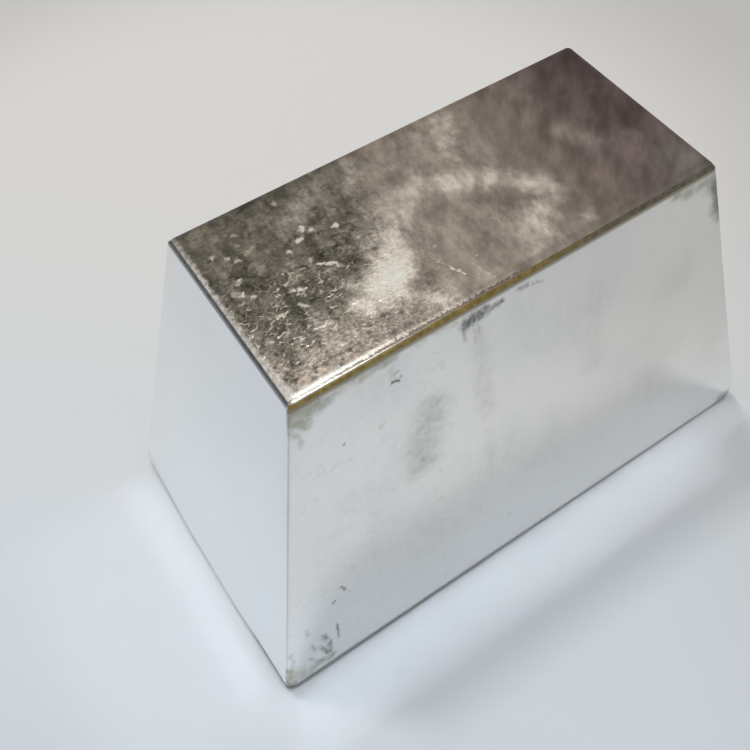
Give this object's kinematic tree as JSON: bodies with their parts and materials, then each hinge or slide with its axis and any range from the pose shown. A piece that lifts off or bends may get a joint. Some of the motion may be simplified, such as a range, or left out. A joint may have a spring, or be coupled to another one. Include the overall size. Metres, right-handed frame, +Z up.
{
  "type": "indium ingot",
  "caption": "Cast bar of soft silver-white metal with drafted sides, chamfered crown edges and a wide flat foot to stand on.",
  "frame": {"origin": "middle of the wide pour face that the bar stands on", "axes": "+X along the long sides, +Y across the bar, +Z up to the narrow crown"},
  "size_m": [0.0848, 0.0442, 0.0525],
  "materials": {
    "indium": "satin"
  },
  "bodies": {
    "root": {"ingot": "indium"}
  },
  "joints": []
}
